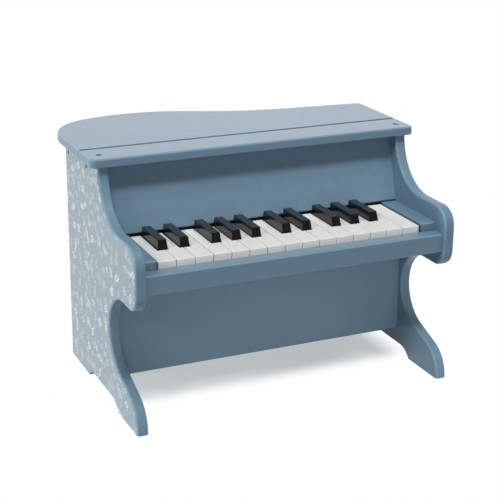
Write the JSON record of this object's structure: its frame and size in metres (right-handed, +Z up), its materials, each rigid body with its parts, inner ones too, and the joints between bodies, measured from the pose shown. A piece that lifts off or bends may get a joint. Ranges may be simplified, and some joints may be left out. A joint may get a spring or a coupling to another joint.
{
  "type": "toy piano",
  "caption": "Small upright toy piano in painted wood with shaped side panels, a curved two-board top and sprung keys that strike a row of metal chime bars.",
  "frame": {"origin": "on the floor, under the middle of the overall box", "axes": "+Z up, +X to the player's right, the keyboard faces -Y"},
  "size_m": [0.398, 0.3003, 0.276],
  "materials": {
    "painted_wood": "satin dusty blue paint",
    "printed_panel": "satin paint with a light print",
    "back_board": "satin dusty blue paint",
    "bare_wood": "bare sanded wood",
    "black_felt": "felt",
    "action_felt": "felt",
    "steel": "zinc plated",
    "chime_metal": "plated steel",
    "action_plastic": "matte moulded",
    "clamp_wood": "bare sanded wood",
    "white_key": "satin moulded white",
    "black_key": "satin moulded black"
  },
  "bodies": {
    "case": {"top_front_strip": "painted_wood", "top_rear_board": "painted_wood", "fallboard": "painted_wood", "key_slip": "painted_wood", "knee_panel": "painted_wood", "left_key_block": "painted_wood", "right_key_block": "painted_wood", "left_side_panel": "printed_panel", "right_side_panel": "printed_panel", "back_panel": "back_board", "key_bed": "bare_wood", "seam_rail": "bare_wood", "back_rail": "bare_wood", "top_dowels": "bare_wood", "key_rest_rail": "bare_wood", "chime_front_rail": "bare_wood", "chime_rear_rail": "bare_wood", "chime_hold_down_strip": "bare_wood", "fallboard_felt": "black_felt", "white_key_stop_felt": "action_felt", "black_key_stop_felt": "action_felt", "key_rest_felt": "action_felt", "chime_front_felt": "action_felt", "chime_rear_felt": "action_felt", "strip_screws": "steel", "side_screws": "steel", "back_panel_screws": "steel", "key_pivot_rod": "steel", "return_spring_comb": "steel", "chime_pins": "steel", "chime_bars": "chime_metal", "white_key_guide_comb": "action_plastic", "black_key_guide_comb": "action_plastic", "spring_clamp_bar": "clamp_wood"},
    "key_c1": {"key_c1": "white_key"},
    "key_c_sharp1": {"key_c_sharp1": "black_key"},
    "key_d1": {"key_d1": "white_key"},
    "key_d_sharp1": {"key_d_sharp1": "black_key"},
    "key_e1": {"key_e1": "white_key"},
    "key_f1": {"key_f1": "white_key"},
    "key_f_sharp1": {"key_f_sharp1": "black_key"},
    "key_g1": {"key_g1": "white_key"},
    "key_g_sharp1": {"key_g_sharp1": "black_key"},
    "key_a1": {"key_a1": "white_key"},
    "key_a_sharp1": {"key_a_sharp1": "black_key"},
    "key_b1": {"key_b1": "white_key"},
    "key_c2": {"key_c2": "white_key"},
    "key_c_sharp2": {"key_c_sharp2": "black_key"},
    "key_d2": {"key_d2": "white_key"},
    "key_d_sharp2": {"key_d_sharp2": "black_key"},
    "key_e2": {"key_e2": "white_key"},
    "key_f2": {"key_f2": "white_key"},
    "key_f_sharp2": {"key_f_sharp2": "black_key"},
    "key_g2": {"key_g2": "white_key"},
    "key_g_sharp2": {"key_g_sharp2": "black_key"},
    "key_a2": {"key_a2": "white_key"},
    "key_a_sharp2": {"key_a_sharp2": "black_key"},
    "key_b2": {"key_b2": "white_key"},
    "key_c3": {"key_c3": "white_key"}
  },
  "joints": [
    {"name": "key_c1_press", "type": "hinge", "parent": "case", "child": "key_c1", "pos_m": [0, -0.01516, 0.1745], "axis": [1, 0, 0], "range_deg": [0, 3], "stiffness_Nm_per_rad": 0.15, "springref_deg": -14.32, "deforming": ["return_spring_comb"]},
    {"name": "key_c_sharp1_press", "type": "hinge", "parent": "case", "child": "key_c_sharp1", "pos_m": [0, -0.01516, 0.1745], "axis": [1, 0, 0], "range_deg": [0, 3.4], "stiffness_Nm_per_rad": 0.15, "springref_deg": -14.32, "deforming": ["return_spring_comb"]},
    {"name": "key_d1_press", "type": "hinge", "parent": "case", "child": "key_d1", "pos_m": [0, -0.01516, 0.1745], "axis": [1, 0, 0], "range_deg": [0, 3], "stiffness_Nm_per_rad": 0.15, "springref_deg": -14.32, "deforming": ["return_spring_comb"]},
    {"name": "key_d_sharp1_press", "type": "hinge", "parent": "case", "child": "key_d_sharp1", "pos_m": [0, -0.01516, 0.1745], "axis": [1, 0, 0], "range_deg": [0, 3.4], "stiffness_Nm_per_rad": 0.15, "springref_deg": -14.32, "deforming": ["return_spring_comb"]},
    {"name": "key_e1_press", "type": "hinge", "parent": "case", "child": "key_e1", "pos_m": [0, -0.01516, 0.1745], "axis": [1, 0, 0], "range_deg": [0, 3], "stiffness_Nm_per_rad": 0.15, "springref_deg": -14.32, "deforming": ["return_spring_comb"]},
    {"name": "key_f1_press", "type": "hinge", "parent": "case", "child": "key_f1", "pos_m": [0, -0.01516, 0.1745], "axis": [1, 0, 0], "range_deg": [0, 3], "stiffness_Nm_per_rad": 0.15, "springref_deg": -14.32, "deforming": ["return_spring_comb"]},
    {"name": "key_f_sharp1_press", "type": "hinge", "parent": "case", "child": "key_f_sharp1", "pos_m": [0, -0.01516, 0.1745], "axis": [1, 0, 0], "range_deg": [0, 3.4], "stiffness_Nm_per_rad": 0.15, "springref_deg": -14.32, "deforming": ["return_spring_comb"]},
    {"name": "key_g1_press", "type": "hinge", "parent": "case", "child": "key_g1", "pos_m": [0, -0.01516, 0.1745], "axis": [1, 0, 0], "range_deg": [0, 3], "stiffness_Nm_per_rad": 0.15, "springref_deg": -14.32, "deforming": ["return_spring_comb"]},
    {"name": "key_g_sharp1_press", "type": "hinge", "parent": "case", "child": "key_g_sharp1", "pos_m": [0, -0.01516, 0.1745], "axis": [1, 0, 0], "range_deg": [0, 3.4], "stiffness_Nm_per_rad": 0.15, "springref_deg": -14.32, "deforming": ["return_spring_comb"]},
    {"name": "key_a1_press", "type": "hinge", "parent": "case", "child": "key_a1", "pos_m": [0, -0.01516, 0.1745], "axis": [1, 0, 0], "range_deg": [0, 3], "stiffness_Nm_per_rad": 0.15, "springref_deg": -14.32, "deforming": ["return_spring_comb"]},
    {"name": "key_a_sharp1_press", "type": "hinge", "parent": "case", "child": "key_a_sharp1", "pos_m": [0, -0.01516, 0.1745], "axis": [1, 0, 0], "range_deg": [0, 3.4], "stiffness_Nm_per_rad": 0.15, "springref_deg": -14.32, "deforming": ["return_spring_comb"]},
    {"name": "key_b1_press", "type": "hinge", "parent": "case", "child": "key_b1", "pos_m": [0, -0.01516, 0.1745], "axis": [1, 0, 0], "range_deg": [0, 3], "stiffness_Nm_per_rad": 0.15, "springref_deg": -14.32, "deforming": ["return_spring_comb"]},
    {"name": "key_c2_press", "type": "hinge", "parent": "case", "child": "key_c2", "pos_m": [0, -0.01516, 0.1745], "axis": [1, 0, 0], "range_deg": [0, 3], "stiffness_Nm_per_rad": 0.15, "springref_deg": -14.32, "deforming": ["return_spring_comb"]},
    {"name": "key_c_sharp2_press", "type": "hinge", "parent": "case", "child": "key_c_sharp2", "pos_m": [0, -0.01516, 0.1745], "axis": [1, 0, 0], "range_deg": [0, 3.4], "stiffness_Nm_per_rad": 0.15, "springref_deg": -14.32, "deforming": ["return_spring_comb"]},
    {"name": "key_d2_press", "type": "hinge", "parent": "case", "child": "key_d2", "pos_m": [0, -0.01516, 0.1745], "axis": [1, 0, 0], "range_deg": [0, 3], "stiffness_Nm_per_rad": 0.15, "springref_deg": -14.32, "deforming": ["return_spring_comb"]},
    {"name": "key_d_sharp2_press", "type": "hinge", "parent": "case", "child": "key_d_sharp2", "pos_m": [0, -0.01516, 0.1745], "axis": [1, 0, 0], "range_deg": [0, 3.4], "stiffness_Nm_per_rad": 0.15, "springref_deg": -14.32, "deforming": ["return_spring_comb"]},
    {"name": "key_e2_press", "type": "hinge", "parent": "case", "child": "key_e2", "pos_m": [0, -0.01516, 0.1745], "axis": [1, 0, 0], "range_deg": [0, 3], "stiffness_Nm_per_rad": 0.15, "springref_deg": -14.32, "deforming": ["return_spring_comb"]},
    {"name": "key_f2_press", "type": "hinge", "parent": "case", "child": "key_f2", "pos_m": [0, -0.01516, 0.1745], "axis": [1, 0, 0], "range_deg": [0, 3], "stiffness_Nm_per_rad": 0.15, "springref_deg": -14.32, "deforming": ["return_spring_comb"]},
    {"name": "key_f_sharp2_press", "type": "hinge", "parent": "case", "child": "key_f_sharp2", "pos_m": [0, -0.01516, 0.1745], "axis": [1, 0, 0], "range_deg": [0, 3.4], "stiffness_Nm_per_rad": 0.15, "springref_deg": -14.32, "deforming": ["return_spring_comb"]},
    {"name": "key_g2_press", "type": "hinge", "parent": "case", "child": "key_g2", "pos_m": [0, -0.01516, 0.1745], "axis": [1, 0, 0], "range_deg": [0, 3], "stiffness_Nm_per_rad": 0.15, "springref_deg": -14.32, "deforming": ["return_spring_comb"]},
    {"name": "key_g_sharp2_press", "type": "hinge", "parent": "case", "child": "key_g_sharp2", "pos_m": [0, -0.01516, 0.1745], "axis": [1, 0, 0], "range_deg": [0, 3.4], "stiffness_Nm_per_rad": 0.15, "springref_deg": -14.32, "deforming": ["return_spring_comb"]},
    {"name": "key_a2_press", "type": "hinge", "parent": "case", "child": "key_a2", "pos_m": [0, -0.01516, 0.1745], "axis": [1, 0, 0], "range_deg": [0, 3], "stiffness_Nm_per_rad": 0.15, "springref_deg": -14.32, "deforming": ["return_spring_comb"]},
    {"name": "key_a_sharp2_press", "type": "hinge", "parent": "case", "child": "key_a_sharp2", "pos_m": [0, -0.01516, 0.1745], "axis": [1, 0, 0], "range_deg": [0, 3.4], "stiffness_Nm_per_rad": 0.15, "springref_deg": -14.32, "deforming": ["return_spring_comb"]},
    {"name": "key_b2_press", "type": "hinge", "parent": "case", "child": "key_b2", "pos_m": [0, -0.01516, 0.1745], "axis": [1, 0, 0], "range_deg": [0, 3], "stiffness_Nm_per_rad": 0.15, "springref_deg": -14.32, "deforming": ["return_spring_comb"]},
    {"name": "key_c3_press", "type": "hinge", "parent": "case", "child": "key_c3", "pos_m": [0, -0.01516, 0.1745], "axis": [1, 0, 0], "range_deg": [0, 3], "stiffness_Nm_per_rad": 0.15, "springref_deg": -14.32, "deforming": ["return_spring_comb"]}
  ]
}
